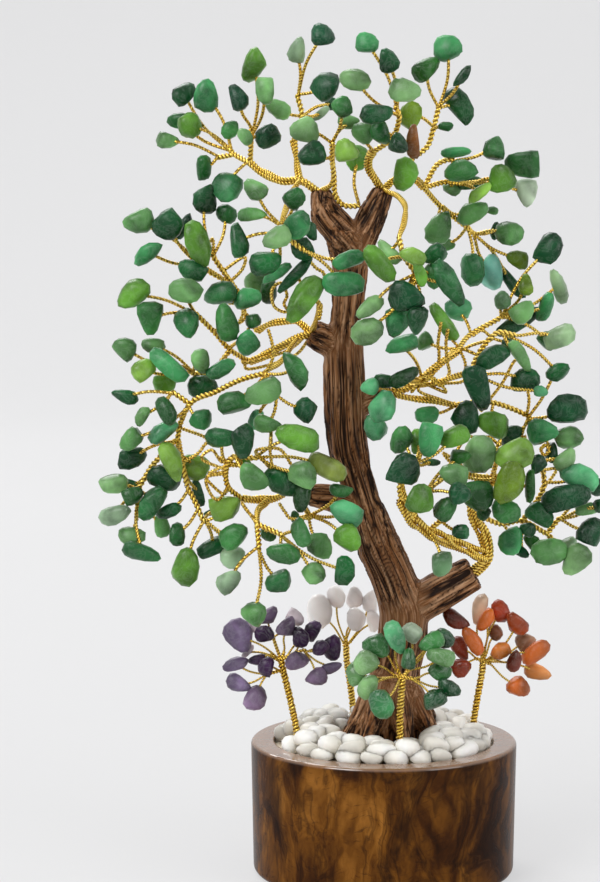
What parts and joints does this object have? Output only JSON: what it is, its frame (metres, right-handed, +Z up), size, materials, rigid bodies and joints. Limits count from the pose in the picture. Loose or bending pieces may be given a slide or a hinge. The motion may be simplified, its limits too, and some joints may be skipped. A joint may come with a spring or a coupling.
{
  "type": "gemstone tree ornament",
  "caption": "Gemstone tree ornament: a fluted trunk in a turned wooden pot, wire boughs and sprays carrying polished stone chips, small stone trees among pebbles at its foot.",
  "frame": {"origin": "centre of the pot's flat underside", "axes": "+Z up along the pot's axis, +X to the viewer's right, +Y away from the viewer"},
  "size_m": [0.1703, 0.0918, 0.2854],
  "materials": {
    "lacquered_wood": "gloss lacquer over dark streaked grain",
    "plaster": "matt, set plaster",
    "milky_pebble": "polished, milky",
    "carved_bark": "satin, deeply grooved",
    "gold_wire": "bright drawn",
    "green_stone": "tumbled and polished, green of many depths",
    "amethyst": "tumbled and polished, lilac to near black",
    "pale_quartz": "tumbled and polished, clear to milky",
    "dark_aventurine": "tumbled and polished, deep green",
    "carnelian": "tumbled and polished, orange to dark red"
  },
  "bodies": {
    "root": {"pot": "lacquered_wood", "plaster_fill": "plaster", "pebbles": "milky_pebble", "trunk": "carved_bark", "bough_top_left": "gold_wire", "bough_top_right": "gold_wire", "bough_mid_left": "gold_wire", "bough_right_mid": "gold_wire", "bough_lower_left": "gold_wire", "bough_lower_right": "gold_wire", "peak_wires": "gold_wire", "peak_chips": "green_stone", "upper_left_wires": "gold_wire", "upper_left_chips": "green_stone", "left_shoulder_wires": "gold_wire", "left_shoulder_chips": "green_stone", "left_fan_wires": "gold_wire", "left_fan_chips": "green_stone", "left_long_wires": "gold_wire", "left_long_chips": "green_stone", "left_middle_wires": "gold_wire", "left_middle_chips": "green_stone", "left_low_wires": "gold_wire", "left_low_chips": "green_stone", "low_left_tips_wires": "gold_wire", "low_left_tips_chips": "green_stone", "low_left_inner_wires": "gold_wire", "low_left_inner_chips": "green_stone", "low_left_drop_wires": "gold_wire", "low_left_drop_chips": "green_stone", "top_right_wires": "gold_wire", "top_right_chips": "green_stone", "right_peak_wires": "gold_wire", "right_peak_chips": "green_stone", "right_shoulder_wires": "gold_wire", "right_shoulder_chips": "green_stone", "right_fan_wires": "gold_wire", "right_fan_chips": "green_stone", "right_middle_wires": "gold_wire", "right_middle_chips": "green_stone", "right_long_upper_wires": "gold_wire", "right_long_upper_chips": "green_stone", "right_long_wires": "gold_wire", "right_long_chips": "green_stone", "right_low_wires": "gold_wire", "right_low_chips": "green_stone", "low_right_inner_wires": "gold_wire", "low_right_inner_chips": "green_stone", "low_right_top_wires": "gold_wire", "low_right_top_chips": "green_stone", "low_right_outer_wires": "gold_wire", "low_right_outer_chips": "green_stone", "amethyst_tree_wires": "gold_wire", "amethyst_tree_chips": "amethyst", "quartz_tree_wires": "gold_wire", "quartz_tree_chips": "pale_quartz", "aventurine_tree_wires": "gold_wire", "aventurine_tree_chips": "dark_aventurine", "carnelian_tree_wires": "gold_wire", "carnelian_tree_chips": "carnelian"}
  },
  "joints": []
}
